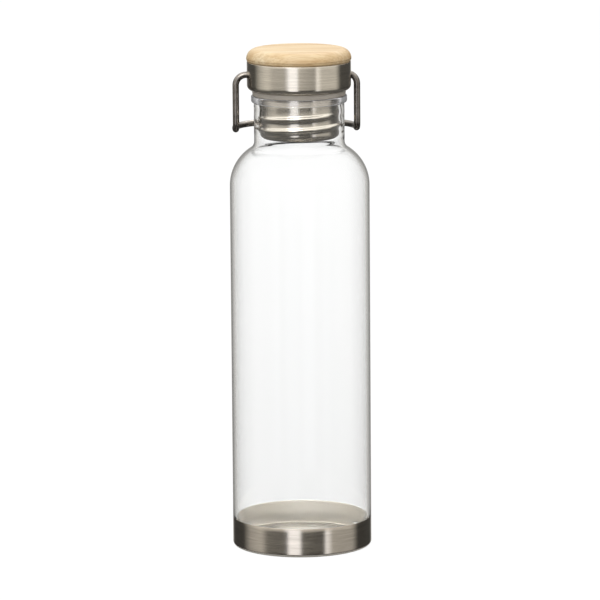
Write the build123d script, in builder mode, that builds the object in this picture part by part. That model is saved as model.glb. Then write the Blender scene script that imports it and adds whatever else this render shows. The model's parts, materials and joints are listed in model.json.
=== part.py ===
"""Glass water bottle: a clear body with a steel foot cup, closed by a steel screw lid with a
silicone seal, a bamboo top and a swinging wire bail.

Frame: millimetres, +Z up. The origin is the centre of the flat foot that the bottle stands on.
The bail's pivot line runs along X, and its bar passes behind the neck, on +Y.
Every round outline is drawn as (radius, height) on the XZ plane and turned about Z.
"""

import os
from math import asin, atan2, cos, degrees, radians, sin, sqrt

from build123d import *

# Glass body
body_radius = 36.5
glass_wall = 1.9
cup_height = 15.3
shoulder_z = 191.2
shoulder_radius = 23.2
neck_radius = 23.6
neck_fillet = 4.2
collar_radius = 25.0
collar_z = 234.9
collar_low_edge = 1.2
collar_top_edge = 0.6
rim_z = 238.6
floor_thickness = 3.2
punt_rise = 2.2
punt_radius = 29.0
heel_radius = 3.6

# Screw thread between the plug and the neck, right-handed
thread_pitch = 6.0
thread_centre_radius = 19.9
ridge_round = 2.3
groove_round = 2.6
ridge_top_z = 229.8
ridge_top_azimuth = -36.0
ridge_turns = 1.6
groove_extra_turns = 0.5
groove_runs = 3

# Steel foot cup and the adhesive ring that holds the glass in it
cup_wall = 0.6
cup_corner = 1.8
cup_recess_radius = 26.0
cup_recess_rise = 0.8
cup_clearance = 0.1
adhesive_thickness = 0.5
adhesive_inner_radius = 29.8
adhesive_outer_radius = 32.2

# Lid
seal_height = 2.7
seal_inner_radius = 21.0
seal_foot_radius = 24.2
seal_head_radius = 24.5
shell_radius = 27.1
shell_height = 14.9
shell_corner = 2.8
shell_wall = 0.5
plug_radius = 20.7
plug_wall = 0.6
plug_bottom_z = 216.1
plug_corner = 3.6
plug_flange_radius = 23.0
liner_wall = 1.6
inner_gap = 0.1
core_height = 11.4
core_wall = 1.8
core_boss_radius = 6.0
core_rib_count = 6
core_rib_width = 1.4
bamboo_radius = 27.35
bamboo_height = 7.0
bamboo_top_edge = 5.2
bamboo_low_edge = 1.7
bamboo_spigot_radius = 26.2

# Wire bail
wire_radius = 1.7
pivot_z = 249.5
bail_half_span = 31.6
bail_end_play = 1.35
bail_drop = 28.9
bail_depth = 30.0
bail_top_bend = 5.4
bail_low_bend = 3.6
bail_back_bend = 23.0
bail_pin_end = 20.6
pivot_hole_radius = 2.6
bush_radius = 3.2
bush_bore = 1.75
bush_inner_end = 19.2
bush_outer_end = 24.7

# Heights and radii that follow from the sizes above
foot_z = cup_wall + adhesive_thickness
seat_radius = body_radius - cup_wall - cup_clearance
inner_radius = body_radius - glass_wall
bore_radius = neck_radius - glass_wall
shell_z = rim_z + seal_height
shell_floor_z = shell_z + shell_wall
shell_top_z = shell_z + shell_height
core_z = shell_floor_z + shell_wall
core_top_z = core_z + core_height
core_radius = shell_radius - shell_wall - inner_gap
plug_inner_radius = plug_radius - plug_wall
total_height = shell_top_z + bamboo_height

parts = {}


def dome_arc(radius, base_z):
    """Shallow arc, centred on the axis, from the edge of the pushed-up floor to its middle."""
    ball = (radius**2 + punt_rise**2) / (2 * punt_rise)
    half = asin(radius / ball) / 2
    middle = (ball * sin(half), base_z + punt_rise - ball * (1 - cos(half)))
    ThreePointArc((radius, base_z), middle, (0, base_z + punt_rise))


def shoulder_points(wall):
    """Centres and joints of the two shoulder arcs of the glass, for an outline moved in by wall."""
    low = Vector(body_radius - shoulder_radius, shoulder_z)
    high_x = neck_radius + neck_fillet
    reach = shoulder_radius + neck_fillet
    high = Vector(high_x, shoulder_z + sqrt(reach**2 - (high_x - low.X) ** 2))
    joint = low + (high - low).normalized() * (shoulder_radius - wall)
    return low, joint, high


def arc_middle(centre, radius, start, end):
    """Point of an arc halfway between two angles in degrees."""
    angle = radians((start + end) / 2)
    return centre + Vector(cos(angle), sin(angle)) * radius


def shoulder_arcs(wall):
    """Convex shoulder and concave neck root, from the body's side up to the neck."""
    low, joint, high = shoulder_points(wall)
    round_up = shoulder_radius - wall
    round_in = neck_fillet + wall
    meet = degrees(atan2(high.Y - low.Y, high.X - low.X))
    side = low + Vector(round_up, 0)
    top = high - Vector(round_in, 0)
    ThreePointArc(side, arc_middle(low, round_up, 0, meet), joint)
    ThreePointArc(joint, arc_middle(high, round_in, 180 + meet, 180), top)
    return side, top


def thread_line(turns, top_z):
    """Helix on the thread's own line, from top_z down by a number of turns."""
    azimuth = ridge_top_azimuth + 360 * ((top_z - ridge_top_z) / thread_pitch - turns)
    start_z = top_z - turns * thread_pitch
    helix = Helix(thread_pitch, turns * thread_pitch, thread_centre_radius)
    return Pos(0, 0, start_z) * Rot(0, 0, azimuth) * helix


def section_plane(line):
    """Plane across the start of a helix about Z, with its X towards the axis."""
    start = line @ 0
    return Plane(origin=start, x_dir=(-start.X, -start.Y, 0), z_dir=line % 0)


def keep(builder, name):
    """Label a finished sub-part and hold it for export."""
    builder.part.label = name
    parts[name] = builder.part


# The plug's ridge, and the groove for it, which runs out through the rim so that the ridge can start.
# The groove is cut in runs that follow each other down the same line.
ridge_line = thread_line(ridge_turns, ridge_top_z)
groove_top_z = rim_z + groove_round + 1
groove_turns = (groove_top_z - ridge_top_z) / thread_pitch + ridge_turns + groove_extra_turns
run_turns = groove_turns / groove_runs
groove_lines = [
    thread_line(run_turns, groove_top_z - index * run_turns * thread_pitch)
    for index in range(groove_runs)
]

# Clear body: straight side, round shoulder, neck with a collar, and a pushed-up floor.
with BuildPart() as glass_bottle:
    with BuildSketch(Plane.XZ):
        with BuildLine():
            dome_arc(punt_radius, foot_z)
            Line((punt_radius, foot_z), (seat_radius - heel_radius, foot_z))
            RadiusArc(
                (seat_radius - heel_radius, foot_z),
                (seat_radius, foot_z + heel_radius),
                -heel_radius,
            )
            Polyline(
                (seat_radius, foot_z + heel_radius),
                (seat_radius, cup_height),
                (body_radius, cup_height),
                (body_radius, shoulder_z),
            )
            outer_side, outer_neck = shoulder_arcs(0)
            Polyline(
                outer_neck,
                (neck_radius, collar_z),
                (collar_radius, collar_z),
                (collar_radius, rim_z),
                (bore_radius, rim_z),
                (bore_radius, outer_neck.Y),
            )
            inner_side, inner_neck = shoulder_arcs(glass_wall)
            inner_floor_z = foot_z + floor_thickness
            inner_heel = heel_radius + glass_wall
            Line(inner_side, (inner_radius, inner_floor_z + inner_heel))
            RadiusArc(
                (inner_radius, inner_floor_z + inner_heel),
                (inner_radius - inner_heel, inner_floor_z),
                inner_heel,
            )
            dome_arc(inner_radius - inner_heel, inner_floor_z)
            Line((0, inner_floor_z + punt_rise), (0, foot_z + punt_rise))
        make_face()
    revolve(axis=Axis.Z)
    collar_edges = glass_bottle.edges().filter_by(GeomType.CIRCLE).filter_by(
        lambda edge: abs(edge.radius - collar_radius) < 0.01
    )
    fillet(collar_edges.sort_by(Axis.Z)[0], radius=collar_low_edge)
    fillet(collar_edges.sort_by(Axis.Z)[-1], radius=collar_top_edge)
    for groove_line in groove_lines:
        with BuildSketch(section_plane(groove_line)):
            Circle(groove_round)
        sweep(path=groove_line, is_frenet=True, mode=Mode.SUBTRACT)
keep(glass_bottle, "glass_bottle")

# Foot cup: pressed sheet with a stamped-up middle.
with BuildPart() as base_cup:
    with BuildSketch(Plane.XZ):
        with BuildLine():
            Polyline(
                (0, cup_recess_rise),
                (cup_recess_radius - 0.4, cup_recess_rise),
                (cup_recess_radius + 0.4, 0),
                (body_radius - cup_corner, 0),
            )
            RadiusArc((body_radius - cup_corner, 0), (body_radius, cup_corner), -cup_corner)
            Polyline(
                (body_radius, cup_corner),
                (body_radius, cup_height),
                (body_radius - cup_wall, cup_height),
                (body_radius - cup_wall, cup_corner),
            )
            RadiusArc(
                (body_radius - cup_wall, cup_corner),
                (body_radius - cup_corner, cup_wall),
                cup_corner - cup_wall,
            )
            Polyline(
                (body_radius - cup_corner, cup_wall),
                (cup_recess_radius + 0.4, cup_wall),
                (cup_recess_radius - 0.4, cup_wall + cup_recess_rise),
                (0, cup_wall + cup_recess_rise),
                (0, cup_recess_rise),
            )
        make_face()
    revolve(axis=Axis.Z)
keep(base_cup, "base_cup")

# Adhesive ring between the cup's floor and the foot of the glass.
with BuildPart() as base_adhesive:
    with BuildSketch(Plane.XY.offset(cup_wall)):
        Circle(adhesive_outer_radius)
        Circle(adhesive_inner_radius, mode=Mode.SUBTRACT)
    extrude(amount=adhesive_thickness)
keep(base_adhesive, "base_adhesive")

# Silicone ring between the rim and the lid shell.
with BuildPart() as seal_ring:
    with BuildSketch(Plane.XZ):
        with BuildLine():
            Polyline(
                (seal_inner_radius, rim_z),
                (seal_foot_radius, rim_z),
                (seal_head_radius, shell_z),
                (seal_inner_radius, shell_z),
                close=True,
            )
        make_face()
    revolve(axis=Axis.Z)
    fillet(seal_ring.edges().group_by(Axis.Z)[0].sort_by(SortBy.LENGTH)[-1], radius=0.5)
keep(seal_ring, "seal_ring")

# Lid shell: a drawn cup with a wide hole in its floor for the plug, and two pivot holes.
with BuildPart() as lid_shell:
    with BuildSketch(Plane.XZ):
        with BuildLine():
            Line((plug_radius + inner_gap, shell_z), (shell_radius - shell_corner, shell_z))
            RadiusArc(
                (shell_radius - shell_corner, shell_z),
                (shell_radius, shell_z + shell_corner),
                -shell_corner,
            )
            Polyline(
                (shell_radius, shell_z + shell_corner),
                (shell_radius, shell_top_z),
                (shell_radius - shell_wall, shell_top_z),
                (shell_radius - shell_wall, shell_z + shell_corner),
            )
            RadiusArc(
                (shell_radius - shell_wall, shell_z + shell_corner),
                (shell_radius - shell_corner, shell_floor_z),
                shell_corner - shell_wall,
            )
            Polyline(
                (shell_radius - shell_corner, shell_floor_z),
                (plug_radius + inner_gap, shell_floor_z),
                (plug_radius + inner_gap, shell_z),
            )
        make_face()
    revolve(axis=Axis.Z)
    with BuildSketch(Plane.YZ):
        with Locations((0, pivot_z)):
            Circle(pivot_hole_radius)
    extrude(amount=shell_radius + 1, both=True, mode=Mode.SUBTRACT)
keep(lid_shell, "lid_shell")

# Moulded core: floor, wall, middle boss and ribs, with a beam that holds the two bush sockets.
with BuildPart() as lid_core:
    core_corner = shell_corner - shell_wall - inner_gap
    beam_width = 2 * (bush_radius + core_wall)
    slot_start = core_boss_radius + core_wall
    slot_end = bush_inner_end - core_wall
    with BuildSketch(Plane.XY.offset(core_z)):
        Circle(core_radius)
    extrude(amount=core_height)
    fillet(lid_core.edges().group_by(Axis.Z)[0], radius=core_corner)
    with BuildSketch(Plane.XY.offset(core_z + core_wall)):
        Circle(core_radius - core_wall)
        Circle(core_boss_radius, mode=Mode.SUBTRACT)
        Rectangle(2 * core_radius, beam_width, mode=Mode.SUBTRACT)
        with PolarLocations(core_radius / 2, core_rib_count, start_angle=30):
            Rectangle(core_radius, core_rib_width, mode=Mode.SUBTRACT)
        with Locations(((slot_start + slot_end) / 2, 0), (-(slot_start + slot_end) / 2, 0)):
            Rectangle(slot_end - slot_start, 2 * bush_radius)
    extrude(amount=core_height, mode=Mode.SUBTRACT)
    for side in (-1, 1):
        with BuildSketch(Plane.YZ.offset(side * bush_inner_end)):
            with Locations((0, pivot_z)):
                Circle(bush_radius)
        extrude(amount=side * core_radius, mode=Mode.SUBTRACT)
keep(lid_core, "lid_core")

# Pivot bushes, one in each socket.
for side, name in ((-1, "left_bush"), (1, "right_bush")):
    with BuildPart() as bush:
        with BuildSketch(Plane.YZ.offset(side * bush_inner_end)):
            with Locations((0, pivot_z)):
                Circle(bush_radius)
                Circle(bush_bore, mode=Mode.SUBTRACT)
        extrude(amount=side * (bush_outer_end - bush_inner_end))
    keep(bush, name)

# Threaded plug: a deep drawn cup with a rolled ridge, hung by its flange in the shell's floor.
with BuildPart() as threaded_plug:
    with BuildSketch(Plane.XZ):
        with BuildLine():
            Line((0, plug_bottom_z), (plug_radius - plug_corner, plug_bottom_z))
            RadiusArc(
                (plug_radius - plug_corner, plug_bottom_z),
                (plug_radius, plug_bottom_z + plug_corner),
                -plug_corner,
            )
            Polyline(
                (plug_radius, plug_bottom_z + plug_corner),
                (plug_radius, shell_floor_z),
                (plug_flange_radius, shell_floor_z),
                (plug_flange_radius, core_z),
                (0, core_z),
                (0, plug_bottom_z),
            )
        make_face()
    revolve(axis=Axis.Z)
    with BuildSketch(section_plane(ridge_line)):
        Circle(ridge_round)
    sweep(path=ridge_line, is_frenet=True)
    with Locations(ridge_line @ 0, ridge_line @ 1):
        Sphere(ridge_round)
    with BuildSketch(Plane.XZ):
        inner_corner = plug_corner - plug_wall
        with BuildLine():
            Line(
                (0, plug_bottom_z + plug_wall),
                (plug_radius - plug_corner, plug_bottom_z + plug_wall),
            )
            RadiusArc(
                (plug_radius - plug_corner, plug_bottom_z + plug_wall),
                (plug_inner_radius, plug_bottom_z + plug_corner),
                -inner_corner,
            )
            Polyline(
                (plug_inner_radius, plug_bottom_z + plug_corner),
                (plug_inner_radius, core_z),
                (0, core_z),
                (0, plug_bottom_z + plug_wall),
            )
        make_face()
    revolve(axis=Axis.Z, mode=Mode.SUBTRACT)
keep(threaded_plug, "threaded_plug")

# Moulded liner that backs the thin plug.
with BuildPart() as plug_liner:
    liner_radius = plug_inner_radius - inner_gap
    liner_bottom_z = plug_bottom_z + plug_wall + inner_gap
    with BuildSketch(Plane.XY.offset(liner_bottom_z)):
        Circle(liner_radius)
    extrude(amount=core_z - liner_bottom_z)
    fillet(plug_liner.edges().group_by(Axis.Z)[0], radius=plug_corner - plug_wall)
    with BuildSketch(Plane.XY.offset(liner_bottom_z + liner_wall)):
        Circle(liner_radius - liner_wall)
    extrude(amount=core_z - liner_bottom_z, mode=Mode.SUBTRACT)
keep(plug_liner, "plug_liner")

# Bamboo top: a round-edged disc with a spigot that drops into the shell.
with BuildPart() as bamboo_top:
    with BuildSketch(Plane.XZ):
        with BuildLine():
            Polyline(
                (0, core_top_z),
                (bamboo_spigot_radius, core_top_z),
                (bamboo_spigot_radius, shell_top_z),
            )
            widest_low_z = shell_top_z + bamboo_low_edge
            widest_high_z = total_height - bamboo_top_edge
            RadiusArc(
                (bamboo_spigot_radius, shell_top_z),
                (bamboo_radius, widest_low_z),
                -bamboo_low_edge,
            )
            Line((bamboo_radius, widest_low_z), (bamboo_radius, widest_high_z))
            RadiusArc(
                (bamboo_radius, widest_high_z),
                (bamboo_radius - bamboo_top_edge, total_height),
                -bamboo_top_edge,
            )
            Polyline(
                (bamboo_radius - bamboo_top_edge, total_height),
                (0, total_height),
                (0, core_top_z),
            )
        make_face()
    revolve(axis=Axis.Z)
keep(bamboo_top, "bamboo_top")

# Wire bail: a pin into each bush, an arm down each side, and a bar that rounds the neck at the back.
with BuildPart() as bail_handle:
    bail_low_z = pivot_z - bail_drop
    right_half = [
        (bail_pin_end, 0, pivot_z),
        (bail_half_span, 0, pivot_z),
        (bail_half_span, 0, bail_low_z),
        (bail_half_span, bail_depth, bail_low_z),
    ]
    left_half = [(-x, y, z) for x, y, z in reversed(right_half)]
    corners = [(x - bail_end_play, y, z) for x, y, z in right_half + left_half]
    half_bends = [bail_top_bend, bail_low_bend, bail_back_bend]
    with BuildLine() as bail_path:
        FilletPolyline(*corners, radius=half_bends + half_bends[::-1])
    with BuildSketch(Plane(origin=corners[0], z_dir=(1, 0, 0))):
        Circle(wire_radius)
    sweep(path=bail_path.line)
keep(bail_handle, "bail_handle")

os.makedirs("parts", exist_ok=True)
for name, solid in parts.items():
    export_step(solid, f"parts/{name}.step")
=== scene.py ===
"""Looks of the glass water bottle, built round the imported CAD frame.

Everything is in metres, in the row's frame: +Z up, the camera in front on -Y, the bail behind on +Y.
The round pieces are lathe meshes about Z, with the screw thread raised on their surface by formula.
"""

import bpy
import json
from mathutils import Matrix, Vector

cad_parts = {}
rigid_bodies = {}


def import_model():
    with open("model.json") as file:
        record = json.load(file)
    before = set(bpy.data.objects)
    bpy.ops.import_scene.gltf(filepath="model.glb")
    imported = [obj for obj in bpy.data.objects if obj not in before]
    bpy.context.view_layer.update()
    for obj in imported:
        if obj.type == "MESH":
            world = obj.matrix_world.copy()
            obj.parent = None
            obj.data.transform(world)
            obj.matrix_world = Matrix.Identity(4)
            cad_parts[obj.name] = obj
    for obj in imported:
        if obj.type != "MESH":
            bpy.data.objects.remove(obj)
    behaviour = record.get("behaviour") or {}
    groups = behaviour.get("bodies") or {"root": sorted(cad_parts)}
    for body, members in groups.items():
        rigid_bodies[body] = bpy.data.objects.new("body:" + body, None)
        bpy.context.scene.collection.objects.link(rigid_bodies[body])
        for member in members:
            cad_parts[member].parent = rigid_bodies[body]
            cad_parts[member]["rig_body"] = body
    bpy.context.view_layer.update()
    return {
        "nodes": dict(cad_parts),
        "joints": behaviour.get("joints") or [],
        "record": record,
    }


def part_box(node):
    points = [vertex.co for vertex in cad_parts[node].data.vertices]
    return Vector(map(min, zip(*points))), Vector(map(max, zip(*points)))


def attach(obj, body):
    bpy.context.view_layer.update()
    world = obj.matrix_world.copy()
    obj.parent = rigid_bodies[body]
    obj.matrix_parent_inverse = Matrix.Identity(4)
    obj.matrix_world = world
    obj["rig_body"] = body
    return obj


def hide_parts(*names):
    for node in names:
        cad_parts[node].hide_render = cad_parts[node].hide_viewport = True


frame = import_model()

import json
from math import asin, atan2, cos, degrees, hypot, pi, radians, sin, sqrt, tau

import bpy
from mathutils import Matrix, Vector

MM = 0.001
SEGMENTS = 288

# Places and sizes read from the frame
glass_low, glass_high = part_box("glass_bottle")
cup_rim_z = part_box("base_cup")[1].z
seal_low, seal_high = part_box("seal_ring")
shell_low, shell_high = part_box("lid_shell")
plug_low, plug_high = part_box("threaded_plug")
bamboo_low, bamboo_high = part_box("bamboo_top")
bail_low, bail_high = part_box("bail_handle")
joints = {joint["name"]: joint for joint in frame["joints"]}
pivot_z = joints["bail_swing"]["pos_m"][2]
coupling = frame["record"]["behaviour"]["couplings"][0]

body_radius = glass_high.x
foot_z = glass_low.z
rim_z = glass_high.z
shell_radius = shell_high.x
bamboo_radius = bamboo_high.x
thread_pitch = coupling["ratio"] * tau

# Sizes that the frame's boxes don't give
glass_wall = 1.9 * MM
seat_radius = body_radius - 0.7 * MM
heel_radius = 3.6 * MM
punt_rise = 2.2 * MM
punt_radius = 29.0 * MM
floor_thickness = 3.2 * MM
shoulder_radius = 23.2 * MM
shoulder_z = 191.2 * MM
neck_radius = 23.6 * MM
neck_fillet = 4.2 * MM
neck_root_z = 215.0 * MM
collar_radius = 25.0 * MM
collar_height = 3.7 * MM
collar_low_edge = 1.2 * MM
collar_top_edge = 0.6 * MM
cup_wall = 0.6 * MM
cup_corner = 1.8 * MM
cup_recess_radius = 26.0 * MM
cup_recess_rise = 0.8 * MM
shell_corner = 2.8 * MM
shell_wall = 0.5 * MM
plug_radius = 20.7 * MM
plug_wall = 0.6 * MM
plug_corner = 3.6 * MM
seal_inner_radius = 21.0 * MM
seal_foot_radius = 24.2 * MM
spigot_radius = 26.2 * MM
bamboo_low_edge = 1.7 * MM
bamboo_top_edge = 5.2 * MM
wire_radius = 1.7 * MM
pin_end = 20.6 * MM
bail_top_bend = 5.4 * MM
bail_low_bend = 3.6 * MM
bail_back_bend = 23.0 * MM
pivot_hole_radius = 2.6 * MM

# Screw thread: the ridge's upper end, its length in turns, and the soft shapes of ridge and groove
ridge_top_z = 229.5 * MM
ridge_top_azimuth = -36.0
ridge_turns = 1.6
ridge_height = 0.9 * MM
ridge_above = 1.7 * MM
ridge_below = 2.7 * MM
ridge_overrun = 0.06
ridge_fade = 0.16
groove_turns_below = 0.58
groove_fade = 0.12
groove_depth = 0.12 * MM
groove_half_width = 2.9 * MM
outer_swell = 0.03 * MM
outer_half_width = 2.9 * MM


# ---------------------------------------------------------------- outlines and meshes


def arc(centre, radius, start, end, steps):
    """Points (radius, height) of an arc between two angles in degrees."""
    points = []
    for step in range(steps + 1):
        angle = radians(start + (end - start) * step / steps)
        points.append((centre[0] + radius * cos(angle), centre[1] + radius * sin(angle)))
    return points


def run(start, end, spacing):
    """Points of a straight run, evenly spaced, without its last point."""
    steps = max(1, round(hypot(end[0] - start[0], end[1] - start[1]) / spacing))
    return [
        (
            start[0] + (end[0] - start[0]) * step / steps,
            start[1] + (end[1] - start[1]) * step / steps,
        )
        for step in range(steps)
    ]


def dome(radius, base_z, rise, steps):
    """Shallow arc from an edge up to the axis."""
    ball = (radius**2 + rise**2) / (2 * rise)
    widest = asin(radius / ball)
    points = []
    for step in range(steps + 1):
        angle = widest * (1 - step / steps)
        points.append((ball * sin(angle), base_z + rise - ball * (1 - cos(angle))))
    return points


def finish_mesh(name, vertices, faces, sharp_angle):
    """Object with smooth shading, split at edges sharper than sharp_angle degrees."""
    mesh = bpy.data.meshes.new(name)
    mesh.from_pydata(vertices, [], faces)
    mesh.validate()
    mesh.shade_smooth()
    mesh.set_sharp_from_angle(angle=radians(sharp_angle))
    piece = bpy.data.objects.new(name, mesh)
    bpy.context.scene.collection.objects.link(piece)
    return piece


def lathe(name, outline, radial=None, closed=True, sharp_angle=40):
    """Turn an outline about Z. radial(azimuth, radius, height) may move a point in or out.

    Points on the axis become one vertex. A closed outline joins its last ring to its first.
    """
    vertices = []
    rings = []
    for radius, height in outline:
        if radius < 1e-7:
            rings.append([len(vertices)])
            vertices.append((0.0, 0.0, height))
            continue
        ring = []
        for step in range(SEGMENTS):
            azimuth = 360 * step / SEGMENTS
            reach = radial(azimuth, radius, height) if radial else radius
            ring.append(len(vertices))
            vertices.append((reach * cos(radians(azimuth)), reach * sin(radians(azimuth)), height))
        rings.append(ring)
    faces = []
    pairs = list(zip(rings, rings[1:]))
    if closed:
        pairs.append((rings[-1], rings[0]))
    for low, high in pairs:
        if len(low) == 1 and len(high) == 1:
            continue
        for step in range(SEGMENTS):
            after = (step + 1) % SEGMENTS
            if len(low) == 1:
                faces.append((low[0], high[after], high[step]))
            elif len(high) == 1:
                faces.append((low[step], low[after], high[0]))
            else:
                faces.append((low[step], low[after], high[after], high[step]))
    return finish_mesh(name, vertices, faces, sharp_angle)


def smooth_step(value):
    """0 to 1 with soft ends."""
    value = min(max(value, 0.0), 1.0)
    return value * value * (3 - 2 * value)


def thread_bump(azimuth, height, above, below, first_turn, last_turn, fade):
    """0 to 1: how much of the thread is at a place. Its flanks reach above and below its own line.

    Turns count up along the thread from the ridge's upper end, so those down the plug are negative.
    """
    about = (azimuth - ridge_top_azimuth) / 360
    climb = (height - ridge_top_z) / thread_pitch
    best = 0.0
    for turn in (about + round(climb - about) + step for step in (-1, 0, 1)):
        off = height - ridge_top_z - turn * thread_pitch
        reach = above if off > 0 else below
        if abs(off) < reach:
            ends = smooth_step((turn - first_turn) / fade) * smooth_step((last_turn - turn) / fade)
            best = max(best, ends * (0.5 + 0.5 * cos(pi * off / reach)))
    return best


def tube(name, path, radius, sides):
    """Round wire along a list of points, with closed ends."""
    tangents = []
    for index in range(len(path)):
        before = path[max(index - 1, 0)]
        after = path[min(index + 1, len(path) - 1)]
        tangents.append((after - before).normalized())
    across = tangents[0].orthogonal().normalized()
    vertices = []
    for index, (point, tangent) in enumerate(zip(path, tangents)):
        if index:
            turn = tangents[index - 1].rotation_difference(tangent)
            across = turn @ across
        other = tangent.cross(across)
        for side in range(sides):
            angle = tau * side / sides
            vertices.append(point + (across * cos(angle) + other * sin(angle)) * radius)
    faces = []
    for index in range(len(path) - 1):
        for side in range(sides):
            after = (side + 1) % sides
            low, high = index * sides, (index + 1) * sides
            faces.append((low + side, low + after, high + after, high + side))
    faces.append(tuple(reversed(range(sides))))
    faces.append(tuple(range((len(path) - 1) * sides, len(path) * sides)))
    return finish_mesh(name, [tuple(v) for v in vertices], faces, 50)


# ---------------------------------------------------------------- materials


class Shader:
    """A material's node tree, with short calls to add and join nodes."""

    def __init__(self, name):
        self.material = bpy.data.materials.new(name)
        self.material.use_nodes = True
        self.nodes = self.material.node_tree.nodes
        self.links = self.material.node_tree.links
        self.shader = self.nodes["Principled BSDF"]

    def set(self, **values):
        for key, value in values.items():
            self.shader.inputs[key.replace("_", " ")].default_value = value

    def add(self, kind, **settings):
        node = self.nodes.new(kind)
        for key, value in settings.items():
            setattr(node, key, value)
        return node

    def join(self, source, target):
        self.links.new(source, target)

    def place(self, scale):
        """Object position, stretched by a scale for each axis."""
        where = self.add("ShaderNodeTexCoord")
        mapping = self.add("ShaderNodeMapping")
        mapping.inputs["Scale"].default_value = scale
        self.join(where.outputs["Object"], mapping.inputs["Vector"])
        return mapping.outputs["Vector"]

    def noise(self, where, scale, detail=2.0, rough=0.5):
        node = self.add("ShaderNodeTexNoise")
        node.inputs["Scale"].default_value = scale
        node.inputs["Detail"].default_value = detail
        node.inputs["Roughness"].default_value = rough
        self.join(where, node.inputs["Vector"])
        return node.outputs["Fac"]

    def ramp(self, value, stops):
        """Blend from colour to colour as value passes the stops."""
        node = self.add("ShaderNodeValToRGB")
        elements = node.color_ramp.elements
        while len(elements) < len(stops):
            elements.new(0.5)
        for element, (position, colour) in zip(elements, stops):
            element.position = position
            element.color = colour if len(colour) == 4 else (*colour, 1.0)
        self.join(value, node.inputs["Fac"])
        return node.outputs["Color"]

    def span(self, value, low, high):
        """Map 0..1 to low..high."""
        node = self.add("ShaderNodeMapRange")
        node.inputs["To Min"].default_value = low
        node.inputs["To Max"].default_value = high
        self.join(value, node.inputs["Value"])
        return node.outputs["Result"]

    def mix(self, factor, first, second, blend="MIX"):
        node = self.add("ShaderNodeMix", data_type="RGBA", blend_type=blend)
        sockets = (node.inputs[0], node.inputs[6], node.inputs[7])
        for socket, value in zip(sockets, (factor, first, second)):
            if isinstance(value, bpy.types.NodeSocket):
                self.join(value, socket)
            else:
                socket.default_value = value
        return node.outputs[2]

    def bump(self, height, strength, distance):
        node = self.add("ShaderNodeBump")
        node.inputs["Strength"].default_value = strength
        node.inputs["Distance"].default_value = distance
        self.join(height, node.inputs["Height"])
        self.join(node.outputs["Normal"], self.shader.inputs["Normal"])


def grey(value):
    """A colour without a hue, with its alpha."""
    return (value, value, value, 1.0)


def scaled(colour, factor):
    """A colour made darker or lighter, with its alpha."""
    return tuple(factor * part for part in colour) + (1.0,)


def brushed_steel(name, colour, roughness, anisotropy):
    """Steel brushed round the Z axis: fine and coarse scratches along the hoop, and slow waves of tone."""
    made = Shader(name)
    made.set(Metallic=1.0, Anisotropic=anisotropy, Anisotropic_Rotation=0.25)
    fine = made.noise(made.place((40, 40, 5200)), 1.0, detail=3.0, rough=0.6)
    coarse = made.noise(made.place((60, 60, 2000)), 1.0, detail=3.0, rough=0.7)
    slow = made.noise(made.place((18, 18, 260)), 1.0, detail=2.0)
    shade = made.mix(fine, scaled(colour, 0.86), scaled(colour, 1.06))
    streaks = made.ramp(coarse, [(0.32, grey(0.78)), (0.66, grey(1.0))])
    waves = made.ramp(slow, [(0.3, grey(0.80)), (0.7, grey(1.0))])
    streaked = made.mix(0.8, shade, streaks, "MULTIPLY")
    made.join(made.mix(0.35, streaked, waves, "MULTIPLY"), made.shader.inputs["Base Color"])
    made.join(made.span(coarse, roughness - 0.05, roughness + 0.05), made.shader.inputs["Roughness"])
    hoop = made.add("ShaderNodeTangent", direction_type="RADIAL", axis="Z")
    made.join(hoop.outputs["Tangent"], made.shader.inputs["Tangent"])
    made.bump(fine, 0.12, 0.00002)
    return made.material


def drawn_steel(name, colour):
    """Steel left as drawn: matt, with faint rings from the tool."""
    made = Shader(name)
    made.set(Metallic=0.55)
    rings = made.noise(made.place((30, 30, 1200)), 1.0, detail=3.0)
    cloud = made.noise(made.place((1, 1, 1)), 120, detail=3.0)
    tone = made.mix(rings, scaled(colour, 0.90), scaled(colour, 1.0))
    made.join(tone, made.shader.inputs["Base Color"])
    made.join(made.span(cloud, 0.42, 0.58), made.shader.inputs["Roughness"])
    made.bump(rings, 0.1, 0.00003)
    return made.material


def wire_steel():
    """Drawn wire, tumbled: semi-bright with soft smudges and fine pits."""
    made = Shader("steel_wire")
    made.set(Metallic=1.0)
    smudge = made.noise(made.place((1, 1, 1)), 420, detail=4.0)
    pits = made.noise(made.place((1, 1, 1)), 4200, detail=2.0)
    tone = made.ramp(smudge, [(0.3, (0.14, 0.126, 0.110)), (0.7, (0.25, 0.226, 0.20))])
    made.join(tone, made.shader.inputs["Base Color"])
    made.join(made.span(smudge, 0.16, 0.30), made.shader.inputs["Roughness"])
    made.bump(pits, 0.08, 0.00002)
    return made.material


def clear_glass():
    """Clear glass with a faint tint and barely waved surface, and painted shade that makes it darker
    towards the bottom.
    """
    made = Shader("clear_glass")
    made.set(Transmission_Weight=1.0, IOR=1.5, Roughness=0.0, Specular_Tint=grey(0.2))
    wave = made.noise(made.place((60, 60, 22)), 1.0, detail=1.0)
    # Painted shade: the base colour darkens towards the bottom of the glass, standing in for the shade
    # seen through it.
    height = made.add("ShaderNodeSeparateXYZ")
    made.join(made.place((1, 1, 1 / rim_z)), height.inputs[0])
    painted_shade_low = made.ramp(height.outputs["Z"], [(0.08, grey(0.935)), (0.80, grey(0.995))])
    faint = made.mix(wave, (0.985, 0.990, 0.987, 1.0), (1.0, 1.0, 1.0, 1.0))
    made.join(made.mix(1.0, painted_shade_low, faint, "MULTIPLY"), made.shader.inputs["Base Color"])
    made.bump(wave, 0.05, 0.0002)
    return made.material


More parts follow.
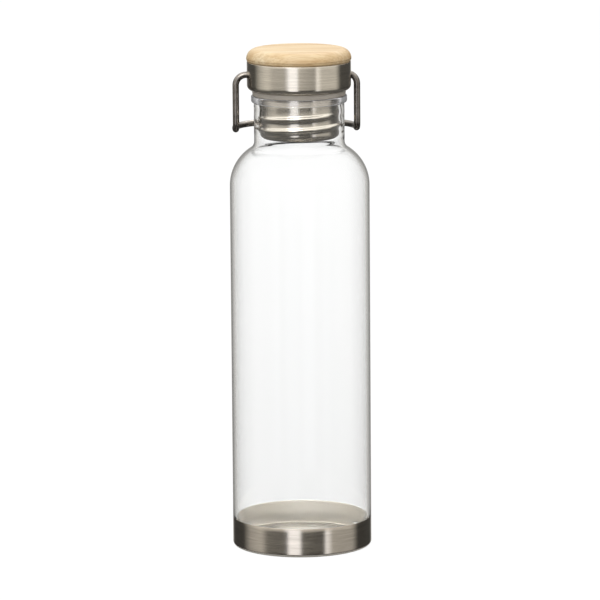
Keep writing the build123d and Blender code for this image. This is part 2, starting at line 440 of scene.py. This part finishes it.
def pressed_collar():
    """The collar's glass: a little uneven, so that it scatters what shows at its rounded edges."""
    made = Shader("collar_glass")
    made.set(IOR=1.5, Specular_Tint=grey(0.3))
    slant = made.add("ShaderNodeLayerWeight").outputs["Facing"]
    rough = made.ramp(slant, [(0.25, grey(0.03)), (0.75, grey(0.50))])
    made.join(rough, made.shader.inputs["Roughness"])
    clarity = made.ramp(slant, [(0.35, grey(1.0)), (0.90, grey(0.70))])
    made.join(clarity, made.shader.inputs["Transmission Weight"])
    wave = made.noise(made.place((1, 1, 1)), 500, detail=2.0)
    milk = made.mix(wave, (0.86, 0.87, 0.905, 1.0), (0.925, 0.93, 0.96, 1.0))
    made.join(milk, made.shader.inputs["Base Color"])
    made.bump(wave, 0.1, 0.0001)
    return made.material


def silicone():
    """Milky silicone: soft, slightly translucent, with a fine moulded skin."""
    made = Shader("silicone")
    made.set(Roughness=0.42, Subsurface_Weight=0.4, Subsurface_Scale=0.001, IOR=1.41)
    made.set(Subsurface_Radius=(1.0, 0.9, 0.8))
    cloud = made.noise(made.place((1, 1, 1)), 160, detail=3.0)
    skin = made.noise(made.place((1, 1, 1)), 3500, detail=2.0)
    made.join(made.ramp(cloud, [(0.3, (0.36, 0.325, 0.28)), (0.7, (0.43, 0.395, 0.345))]),
              made.shader.inputs["Base Color"])
    made.bump(skin, 0.1, 0.00003)
    return made.material


def bamboo():
    """Laminated bamboo with its fibres along X: streaks on the flat, dots on the two ends."""
    made = Shader("bamboo")
    made.set(IOR=1.45)
    fibre = made.noise(made.place((30, 900, 900)), 1.0, detail=4.0, rough=0.6)
    slow = made.noise(made.place((14, 110, 160)), 1.0, detail=3.0)
    cells = made.add("ShaderNodeTexVoronoi", feature="F1")
    cells.inputs["Scale"].default_value = 1.0
    made.join(made.place((70, 1500, 1500)), cells.inputs["Vector"])
    dots = made.ramp(cells.outputs["Distance"], [(0.12, grey(0.0)), (0.34, grey(1.0))])
    base = made.ramp(
        slow,
        [(0.30, (0.54, 0.37, 0.185)), (0.52, (0.62, 0.47, 0.27)), (0.72, (0.68, 0.56, 0.365))],
    )
    fine = made.ramp(fibre, [(0.36, (0.66, 0.52, 0.38)), (0.60, (1.0, 1.0, 1.0))])
    grain = made.mix(0.50, base, fine, "MULTIPLY")
    dotted = made.mix(dots, (0.55, 0.36, 0.20, 1.0), (1.0, 1.0, 1.0, 1.0))
    made.join(made.mix(0.40, grain, dotted, "MULTIPLY"), made.shader.inputs["Base Color"])
    made.join(made.span(fibre, 0.42, 0.62), made.shader.inputs["Roughness"])
    made.bump(fibre, 0.25, 0.00006)
    return made.material


def moulded(name, colour, roughness):
    """Moulded plastic with a fine spark-eroded skin."""
    made = Shader(name)
    skin = made.noise(made.place((1, 1, 1)), 2400, detail=3.0)
    cloud = made.noise(made.place((1, 1, 1)), 90, detail=2.0)
    tone = made.mix(cloud, scaled(colour, 0.9), scaled(colour, 1.0))
    made.join(tone, made.shader.inputs["Base Color"])
    made.join(made.span(skin, roughness - 0.08, roughness + 0.08), made.shader.inputs["Roughness"])
    made.bump(skin, 0.15, 0.00004)
    return made.material


# ---------------------------------------------------------------- pieces


def fit(piece, material, node):
    """Give a piece its material, and put it in the place of a CAD node on that node's body."""
    piece.data.materials.clear()
    piece.data.materials.append(material)
    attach(piece, frame["nodes"][node]["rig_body"])
    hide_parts(node)
    return piece


def paint(piece, material, chosen):
    """Give a second material to the faces that chosen(radius, height) picks."""
    piece.data.materials.append(material)
    for face in piece.data.polygons:
        if chosen(hypot(face.center.x, face.center.y), face.center.z):
            face.material_index = 1


def shoulder(wall):
    """Outline from the body's side up to the neck, moved in by wall."""
    low = Vector((body_radius - shoulder_radius, shoulder_z))
    high_x = neck_radius + neck_fillet
    rise = sqrt((shoulder_radius + neck_fillet) ** 2 - (high_x - low.x) ** 2)
    high = Vector((high_x, shoulder_z + rise))
    meet = degrees(atan2(high.y - low.y, high.x - low.x))
    convex = arc(low, shoulder_radius - wall, 0, meet, 40)
    concave = arc(high, neck_fillet + wall, 180 + meet, 180, 14)
    return convex + concave[1:]


def make_glass(material, collar_material):
    """Closed glass body: outer wall, collar and rim, inner wall with the thread's groove, floor."""
    bore = neck_radius - glass_wall
    inner = body_radius - glass_wall
    collar_z = rim_z - collar_height
    root_round = 0.2 * MM
    heel = arc((seat_radius - heel_radius, foot_z + heel_radius), heel_radius, -90, 0, 12)
    under = list(reversed(dome(punt_radius, foot_z, punt_rise, 12)))
    outer = under + heel
    outer += [(seat_radius, cup_rim_z), (body_radius, cup_rim_z + 0.05 * MM)]
    outer += run((body_radius, cup_rim_z + 0.1 * MM), (body_radius, shoulder_z), 12 * MM)
    outer += shoulder(0)
    outer += run((neck_radius, outer[-1][1]), (neck_radius, collar_z - root_round), 0.35 * MM)[1:]
    outer += arc((neck_radius + root_round, collar_z - root_round), root_round, 180, 90, 4)
    low_centre = (collar_radius - collar_low_edge, collar_z + collar_low_edge)
    outer += arc(low_centre, collar_low_edge, -90, 0, 10)
    top_centre = (collar_radius - collar_top_edge, rim_z - collar_top_edge)
    outer += arc(top_centre, collar_top_edge, 0, 90, 6)
    inner_side = list(reversed(shoulder(glass_wall)))
    lip = arc((bore + 0.5 * MM, rim_z - 0.5 * MM), 0.5 * MM, 90, 180, 6)
    bore_run = run((bore, lip[-1][1]), (bore, inner_side[0][1]), 0.35 * MM)[1:]
    inner_floor_z = foot_z + floor_thickness
    inner_heel = heel_radius + glass_wall
    wall_run = run(inner_side[-1], (inner, inner_floor_z + inner_heel), 12 * MM)[1:]
    inner_corner = arc((inner - inner_heel, inner_floor_z + inner_heel), inner_heel, 0, -90, 14)
    floor = dome(inner - inner_heel, inner_floor_z, punt_rise, 14)[1:]
    outline = outer + lip + bore_run + inner_side + wall_run + inner_corner + floor
    last_turn = (rim_z - ridge_top_z) / thread_pitch + 1
    first_turn = -ridge_turns - groove_turns_below

    def threaded(azimuth, radius, height):
        on_neck = neck_root_z < height < rim_z - 0.01 * MM
        if not on_neck or radius > neck_radius + 0.05 * MM:
            return radius
        if radius < bore + 0.3 * MM:
            return radius + groove_depth * thread_bump(
                azimuth, height, groove_half_width, groove_half_width, first_turn, last_turn, groove_fade
            )
        if abs(radius - neck_radius) < 0.01 * MM:
            near_collar = smooth_step((collar_z - height) / (2 * MM))
            return radius + outer_swell * near_collar * thread_bump(
                azimuth, height, outer_half_width, outer_half_width, first_turn, last_turn, groove_fade
            )
        return radius

    piece = lathe("glass_body", outline, radial=threaded, closed=False, sharp_angle=60)
    fit(piece, material, "glass_bottle")
    paint(
        piece, collar_material,
        lambda radius, height: radius > neck_radius + 0.1 * MM and height > collar_z - root_round,
    )
    return piece


def make_cup(material, inside_material):
    """Pressed steel foot cup with an open rim and a stamped recess underneath."""
    edge = 0.08 * MM
    side = body_radius
    inside = side - cup_wall
    outline = [(0.0, cup_recess_rise)]
    outline += run((4 * MM, cup_recess_rise), (cup_recess_radius - 1.2 * MM, cup_recess_rise), 7 * MM)
    outline += arc((cup_recess_radius - 1.2 * MM, cup_recess_rise - 0.6 * MM), 0.6 * MM, 90, 25, 4)
    outline += [(cup_recess_radius + 0.4 * MM, 0.0)]
    outline += arc((side - cup_corner, cup_corner), cup_corner, -90, 0, 14)
    outline += run((side, cup_corner + 1 * MM), (side, cup_rim_z - edge), 2 * MM)
    outline += arc((side - edge, cup_rim_z - edge), edge, 0, 90, 4)
    outline += arc((inside + edge, cup_rim_z - edge), edge, 90, 180, 4)
    outline += run((inside, cup_rim_z - 1 * MM), (inside, cup_corner + 0.5 * MM), 2 * MM)
    outline += arc((side - cup_corner, cup_corner), cup_corner - cup_wall, 0, -90, 8)
    outline += [
        (cup_recess_radius + 0.4 * MM, cup_wall),
        (cup_recess_radius - 0.6 * MM, cup_wall + cup_recess_rise),
    ]
    floor_z = cup_wall + cup_recess_rise
    outline += run((cup_recess_radius - 4 * MM, floor_z), (2 * MM, floor_z), 7 * MM)
    outline += [(0.0, floor_z)]
    piece = lathe("foot_cup", outline, closed=False)
    fit(piece, material, "base_cup")
    paint(piece, inside_material, lambda radius, height: radius < side - edge and height > 0.5 * cup_wall)
    return piece


def make_shell(material):
    """Drawn lid shell with a rounded lower edge and a bored hole for each end of the bail."""
    low, top = shell_low.z, shell_high.z
    edge = 0.15 * MM
    hole = plug_radius + 0.1 * MM
    inside = shell_radius - shell_wall
    outline = run((hole, low), (shell_radius - shell_corner, low), 1.5 * MM)
    outline += arc((shell_radius - shell_corner, low + shell_corner), shell_corner, -90, 0, 20)
    outline += run((shell_radius, low + shell_corner + 0.8 * MM), (shell_radius, top - edge), 0.8 * MM)
    outline += arc((shell_radius - edge, top - edge), edge, 0, 90, 3)
    outline += arc((inside + edge, top - edge), edge, 90, 180, 3)
    outline += run((inside, top - 1 * MM), (inside, low + shell_corner + 0.5 * MM), 2 * MM)
    outline += arc(
        (shell_radius - shell_corner, low + shell_corner), shell_corner - shell_wall, 0, -90, 12
    )
    outline += [(hole, low + shell_wall)]
    piece = lathe("lid_band", outline)
    bore_holes(piece)
    return fit(piece, material, "lid_shell")


def bore_holes(piece):
    """Cut the two pivot holes through the shell's side."""
    reach = shell_radius * 1.2
    line = [Vector((-reach, 0, pivot_z)), Vector((reach, 0, pivot_z))]
    cutter = tube("hole_cutter", line, pivot_hole_radius, 48)
    cut = piece.modifiers.new("holes", "BOOLEAN")
    cut.operation = "DIFFERENCE"
    cut.solver = "EXACT"
    cut.object = cutter
    apply_modifiers(piece)
    bpy.data.objects.remove(cutter)
    piece.data.shade_smooth()
    piece.data.set_sharp_from_angle(angle=radians(40))


def apply_modifiers(piece):
    """Keep the mesh as its modifiers leave it."""
    graph = bpy.context.evaluated_depsgraph_get()
    made = bpy.data.meshes.new_from_object(piece.evaluated_get(graph))
    piece.modifiers.clear()
    piece.data = made


def make_plug(material):
    """Deep-drawn steel plug with a rolled thread ridge that fades out at both ends."""
    low, top = plug_low.z, plug_high.z
    seat = shell_low.z + shell_wall
    inner = plug_radius - plug_wall
    flange = plug_high.x
    outline = [(0.0, low)]
    outline += run((3 * MM, low), (plug_radius - plug_corner, low), 3 * MM)
    outline += arc((plug_radius - plug_corner, low + plug_corner), plug_corner, -90, 0, 16)
    outline += run((plug_radius, low + plug_corner + 0.3 * MM), (plug_radius, seat), 0.3 * MM)
    outline += [(plug_radius, seat), (flange, seat), (flange, top), (inner, top)]
    outline += run((inner, top - 1 * MM), (inner, low + plug_corner), 2 * MM)
    outline += arc((plug_radius - plug_corner, low + plug_corner), plug_corner - plug_wall, 0, -90, 8)
    outline += [(0.0, low + plug_wall)]

    def ridged(azimuth, radius, height):
        if abs(radius - plug_radius) > 0.01 * MM:
            return radius
        return radius + ridge_height * thread_bump(
            azimuth, height, ridge_above, ridge_below, -ridge_turns, ridge_overrun, ridge_fade
        )

    piece = lathe("screw_plug", outline, radial=ridged, closed=False, sharp_angle=45)
    return fit(piece, material, "threaded_plug")


def make_seal(material):
    """Silicone ring with soft edges, a little wider at the top."""
    low, top = seal_low.z, seal_high.z
    inner = seal_inner_radius
    foot, head = seal_foot_radius, seal_high.x
    edge = 0.45 * MM
    outline = [(inner, low)]
    outline += arc((foot - edge, low + edge), edge, -90, 0, 6)
    outline += run((foot + 0.05 * MM, low + 1.0 * MM), (head - 0.05 * MM, top - 0.6 * MM), 0.6 * MM)
    outline += arc((head - edge, top - edge), edge, 0, 90, 5)
    outline += [(inner, top)]
    piece = lathe("seal_band", outline, sharp_angle=50)
    return fit(piece, material, "seal_ring")


def make_bamboo(material):
    """Round-edged bamboo disc with a slightly crowned face."""
    low, seat, top = bamboo_low.z, shell_high.z, bamboo_high.z
    spigot = spigot_radius
    low_edge, top_edge = bamboo_low_edge, bamboo_top_edge
    crown = 0.25 * MM
    outline = [(0.0, low)]
    outline += run((6 * MM, low), (spigot, low), 6 * MM)
    outline += run((spigot, low), (spigot, seat), 1 * MM)
    rise = sqrt(low_edge**2 - (low_edge - (bamboo_radius - spigot)) ** 2)
    start = degrees(atan2(-rise, spigot - (bamboo_radius - low_edge)))
    outline += arc((bamboo_radius - low_edge, seat + rise), low_edge, start, 0, 8)
    outline += [(bamboo_radius, seat + rise + 0.3 * MM)]
    outline += arc((bamboo_radius - top_edge, top - crown - top_edge), top_edge, 0, 84, 18)
    reach, edge_z = outline[-1]
    steps = 12
    for step in range(1, steps):
        angle = pi / 2 * step / steps
        outline.append((reach * cos(angle), edge_z + (top - edge_z) * sin(angle) ** 2))
    outline.append((0.0, top))
    piece = lathe("bamboo_disc", outline, closed=False, sharp_angle=50)
    return fit(piece, material, "bamboo_top")


def bent_line(corners, bends):
    """Points of a wire's centre line: straight runs between corners that are rounded by bends."""
    steps = 14
    line = [corners[0]]
    for before, corner, after, bend in zip(corners, corners[1:], corners[2:], bends):
        back = (before - corner).normalized()
        onward = (after - corner).normalized()
        centre = corner + (back + onward) * bend
        for step in range(steps + 1):
            angle = pi / 2 * step / steps
            line.append(centre - onward * bend * cos(angle) - back * bend * sin(angle))
    line.append(corners[-1])
    return line


def make_bail(material):
    """One bent wire: pin, upper bend, arm and lower bend on each side, and a bar behind the neck."""
    centre_x = (bail_low.x + bail_high.x) / 2
    half_span = (bail_high.x - bail_low.x) / 2 - wire_radius
    low_z = bail_low.z + wire_radius
    back_y = bail_high.y - wire_radius
    right_half = [
        Vector((pin_end, 0, pivot_z)),
        Vector((half_span, 0, pivot_z)),
        Vector((half_span, 0, low_z)),
        Vector((half_span, back_y, low_z)),
    ]
    left_half = [Vector((-corner.x, corner.y, corner.z)) for corner in reversed(right_half)]
    shift = Vector((centre_x, 0, 0))
    corners = [corner + shift for corner in right_half + left_half]
    half_bends = [bail_top_bend, bail_low_bend, bail_back_bend]
    line = bent_line(corners, half_bends + half_bends[::-1])
    piece = tube("bail_wire", line, wire_radius, 36)
    return fit(piece, material, "bail_handle")


make_glass(clear_glass(), pressed_collar())
make_cup(
    brushed_steel("cup_steel", (0.72, 0.652, 0.555), 0.18, 0.6),
    drawn_steel("cup_inside_steel", (0.90, 0.84, 0.74)),
)
make_shell(brushed_steel("shell_steel", (0.77, 0.705, 0.595), 0.18, 0.6))
make_plug(brushed_steel("plug_steel", (0.72, 0.665, 0.575), 0.2, 0.5))
make_seal(silicone())
make_bamboo(bamboo())
make_bail(wire_steel())

cad_finishes = {
    "lid_core": moulded("white_polypropylene", (0.80, 0.80, 0.78), 0.5),
    "plug_liner": moulded("liner_polypropylene", (0.78, 0.78, 0.76), 0.5),
    "left_bush": moulded("black_nylon", (0.03, 0.03, 0.03), 0.4),
    "base_adhesive": moulded("cured_adhesive", (0.62, 0.60, 0.55), 0.35),
}
cad_finishes["right_bush"] = cad_finishes["left_bush"]
for node, material in cad_finishes.items():
    mesh = frame["nodes"][node].data
    mesh.materials.clear()
    mesh.materials.append(material)


# ---------------------------------------------------------------- stage, light and camera

FLOOR_HALF_SIZE = 12.0
FLOOR_Z = -0.05 * MM
FLOOR_GLOW = 0.94
FLOOR_MATT = 0.08
# The viewpoint, and the studio with it, is turned a little towards the bail's left arm.
VIEW_BEARING = -4.0
# Soft boxes and dark flags round the object, as (bearing, level). A bearing is in degrees from the
# viewpoint, + to the right. The lid reflects the upright ring, and the foot cup reflects the low ring.
UPRIGHT_RING = [
    (-180, 0.60), (-168, 0.40), (-156, 0.10), (-116, 0.09), (-98, 0.55), (-80, 0.92), (-32, 0.84),
    (-26, 1.45), (-5, 1.45), (0, 0.98), (36, 0.68), (41, 1.15), (50, 0.84), (88, 0.80), (104, 0.09),
    (156, 0.08), (168, 0.40), (180, 0.60),
]
LOW_RING = [
    (-180, 0.60), (-168, 0.40), (-156, 0.05), (-114, 0.05), (-96, 0.44), (-72, 0.55), (-60, 0.09),
    (-26, 0.02), (-22, 1.55), (-5, 1.55), (0, 0.02), (36, 0.00), (41, 1.50), (52, 0.46), (92, 0.44),
    (106, 0.04), (156, 0.06), (168, 0.40), (180, 0.60),
]
# What reflected light sees once it has crossed one wall of the glass: a pale room with a dark line behind.
WALL_RING = [
    (-180, 0.16), (-172, 0.22), (-162, 0.45), (-155, 0.56), (-148, 0.66), (-138, 1.00), (138, 1.00),
    (148, 0.66), (155, 0.56), (162, 0.45), (172, 0.22), (180, 0.16),
]
# The tone of the rings, and the whiter tone of the strips in them that are brighter than STRIP_LEVEL.
STUDIO_WARMTH = (1.0, 0.98, 0.94)
STRIP_TONE = (0.98, 1.0, 1.08)
STRIP_LEVEL = 1.2
# Levels below and above the rings, and the heights (-1 to 1) over which one blends into the next.
FLOOR_LEVEL = 0.12
FLOOR_RISE = (-0.50, -0.30)
LOW_RING_RISE = (-0.165, -0.122)
CEILING_RISE = (0.15, 0.60)
CEILING_LEVEL = 1.15
CEILING_GLOSS = 1.9
# Counts of glass surfaces. Light that has crossed one wall sees WALL_RING. Light that has crossed more
# than DEEP_SURFACES fills the foot cup's inside, and it is brightened, less so where it comes from above.
ONE_WALL_SURFACES = 2.0
DEEP_SURFACES = 6.5
INSIDE_GAIN = 6.5
INSIDE_GAIN_ABOVE = 2.5
# A long lens, with the camera a little above the lid, before it is turned by VIEW_BEARING.
CAMERA_LENS = 278.9
CAMERA_PLACE = (-0.0003, -2.4, 0.551)
CAMERA_TARGET = (-0.0003, 0.0, 0.1302)
CAMERA_ROLL = -0.43
# Light that reaches the foot cup's inside crosses a dozen surfaces of glass.
BOUNCES = 28
GLOSSY_BOUNCES = 12


def bounced_once(nodes, links):
    """0 for light that comes straight or through glass, 1 after any reflection or scatter."""
    path = nodes.new("ShaderNodeLightPath")
    bounced = nodes.new("ShaderNodeMath")
    bounced.operation = "ADD"
    bounced.use_clamp = True
    links.new(path.outputs["Glossy Depth"], bounced.inputs[0])
    links.new(path.outputs["Diffuse Depth"], bounced.inputs[1])
    return bounced.outputs[0]


def make_floor():
    """Wide pale floor. It shows white, and leaves the studio to the reflections in the object."""
    size = FLOOR_HALF_SIZE
    mesh = bpy.data.meshes.new("floor")
    corners = [(-size, -size, 0), (size, -size, 0), (size, size, 0), (-size, size, 0)]
    mesh.from_pydata(corners, [], [(0, 1, 2, 3)])
    floor = bpy.data.objects.new("floor", mesh)
    floor.location.z = FLOOR_Z
    bpy.context.scene.collection.objects.link(floor)
    material = bpy.data.materials.new("floor")
    material.use_nodes = True
    nodes, links = material.node_tree.nodes, material.node_tree.links
    nodes.clear()
    glow = nodes.new("ShaderNodeEmission")
    glow.inputs["Strength"].default_value = FLOOR_GLOW
    matt = nodes.new("ShaderNodeBsdfDiffuse")
    matt.inputs["Color"].default_value = grey(FLOOR_MATT)
    both = nodes.new("ShaderNodeAddShader")
    clear = nodes.new("ShaderNodeBsdfTransparent")
    pick = nodes.new("ShaderNodeMixShader")
    links.new(glow.outputs[0], both.inputs[0])
    links.new(matt.outputs[0], both.inputs[1])
    links.new(bounced_once(nodes, links), pick.inputs[0])
    links.new(both.outputs[0], pick.inputs[1])
    links.new(clear.outputs[0], pick.inputs[2])
    out = nodes.new("ShaderNodeOutputMaterial")
    links.new(pick.outputs[0], out.inputs["Surface"])
    mesh.materials.append(material)


def make_world():
    """Studio of soft boxes and dark flags, seen in reflections only; plain white behind the object."""
    world = bpy.data.worlds.new("studio")
    bpy.context.scene.world = world
    world.use_nodes = True
    nodes, links = world.node_tree.nodes, world.node_tree.links
    nodes.clear()

    def math(operation, first, second):
        node = nodes.new("ShaderNodeMath")
        node.operation = operation
        for socket, value in zip(node.inputs, (first, second)):
            if isinstance(value, float):
                socket.default_value = value
            else:
                links.new(value, socket)
        return node.outputs[0]

    def rise(value, low, high):
        node = nodes.new("ShaderNodeMapRange")
        node.interpolation_type = "SMOOTHSTEP"
        node.inputs["From Min"].default_value = low
        node.inputs["From Max"].default_value = high
        links.new(value, node.inputs["Value"])
        return node.outputs["Result"]

    def ring(along, stops):
        node = nodes.new("ShaderNodeValToRGB")
        elements = node.color_ramp.elements
        while len(elements) < len(stops):
            elements.new(0.5)
        for element, (bearing, level) in zip(elements, stops):
            element.position = (bearing + 180) / 360
            tones = STRIP_TONE if level > STRIP_LEVEL else STUDIO_WARMTH
            element.color = (*(level * tone for tone in tones), 1.0)
        links.new(along, node.inputs["Fac"])
        return node.outputs["Color"]

    def blend(factor, first, second):
        node = nodes.new("ShaderNodeMix")
        node.data_type = "RGBA"
        links.new(factor, node.inputs[0])
        for socket, value in ((node.inputs[6], first), (node.inputs[7], second)):
            if isinstance(value, tuple):
                socket.default_value = value
            else:
                links.new(value, socket)
        return node.outputs[2]

    where = nodes.new("ShaderNodeTexCoord")
    turned = nodes.new("ShaderNodeVectorRotate")
    turned.rotation_type = "Z_AXIS"
    turned.inputs["Angle"].default_value = radians(-VIEW_BEARING)
    links.new(where.outputs["Generated"], turned.inputs["Vector"])
    direction = nodes.new("ShaderNodeSeparateXYZ")
    links.new(turned.outputs[0], direction.inputs[0])
    forward = math("MULTIPLY", direction.outputs["Y"], -1.0)
    bearing = math("ARCTAN2", direction.outputs["X"], forward)
    along = math("ADD", math("DIVIDE", bearing, tau), 0.5)
    height = direction.outputs["Z"]
    low_part = rise(height, *LOW_RING_RISE)
    high_part = rise(height, *CEILING_RISE)
    rings = blend(low_part, ring(along, LOW_RING), ring(along, UPRIGHT_RING))
    path = nodes.new("ShaderNodeLightPath")
    scattered = math("GREATER_THAN", path.outputs["Diffuse Depth"], 0.5)
    ceiling = blend(scattered, grey(CEILING_GLOSS), grey(CEILING_LEVEL))
    room = blend(rise(height, *FLOOR_RISE), grey(FLOOR_LEVEL), blend(high_part, rings, ceiling))
    inside = math("GREATER_THAN", path.outputs["Transmission Depth"], DEEP_SURFACES)
    gain_above = math("MULTIPLY", high_part, INSIDE_GAIN_ABOVE - INSIDE_GAIN)
    extra = math("ADD", gain_above, INSIDE_GAIN - 1.0)
    gain = math("ADD", math("MULTIPLY", inside, extra), 1.0)
    one_wall = nodes.new("ShaderNodeMath")
    one_wall.operation = "COMPARE"
    links.new(path.outputs["Transmission Depth"], one_wall.inputs[0])
    one_wall.inputs[1].default_value = ONE_WALL_SURFACES
    one_wall.inputs[2].default_value = 0.5
    studio = nodes.new("ShaderNodeBackground")
    links.new(blend(one_wall.outputs[0], room, ring(along, WALL_RING)), studio.inputs["Color"])
    links.new(gain, studio.inputs["Strength"])
    white = nodes.new("ShaderNodeBackground")
    white.inputs["Color"].default_value = (1, 1, 1, 1)
    pick = nodes.new("ShaderNodeMixShader")
    links.new(bounced_once(nodes, links), pick.inputs[0])
    links.new(white.outputs[0], pick.inputs[1])
    links.new(studio.outputs[0], pick.inputs[2])
    out = nodes.new("ShaderNodeOutputWorld")
    links.new(pick.outputs[0], out.inputs["Surface"])


def make_lights():
    """Soft box high in front, for the bamboo and the bends of the wire, and a soft one behind."""
    for name, place, size, power in (
        ("front_top", (-0.35, -0.90, 1.0), 0.8, 6.5),
        ("back_top", (0.3, 0.8, 1.1), 0.6, 3.0),
    ):
        light = bpy.data.lights.new(name, "AREA")
        light.shape = "DISK"
        light.size = size
        light.energy = power
        lamp = bpy.data.objects.new(name, light)
        lamp.location = place
        aim = Vector((0, 0, 0.2)) - Vector(place)
        lamp.rotation_euler = aim.to_track_quat("-Z", "Y").to_euler()
        bpy.context.scene.collection.objects.link(lamp)


def make_camera():
    """Long lens from the front, a little above the lid, with a slight roll."""
    camera = bpy.data.cameras.new("camera")
    camera.lens = CAMERA_LENS
    camera.sensor_width = 36.0
    camera.clip_start = 0.1
    camera.clip_end = 60.0
    eye = bpy.data.objects.new("camera", camera)
    around = Matrix.Rotation(radians(VIEW_BEARING), 4, "Z")
    place = around @ Vector(CAMERA_PLACE)
    target = around @ Vector(CAMERA_TARGET)
    turn = (target - place).to_track_quat("-Z", "Y").to_matrix().to_4x4()
    roll = Matrix.Rotation(radians(CAMERA_ROLL), 4, "Z")
    eye.matrix_world = Matrix.Translation(place) @ turn @ roll
    bpy.context.scene.collection.objects.link(eye)
    bpy.context.scene.camera = eye


make_floor()
make_world()
make_lights()
make_camera()
bpy.context.scene.view_settings.view_transform = "Standard"
bpy.context.scene.cycles.max_bounces = BOUNCES
bpy.context.scene.cycles.transmission_bounces = BOUNCES
bpy.context.scene.cycles.glossy_bounces = GLOSSY_BOUNCES

bpy.context.view_layer.update()
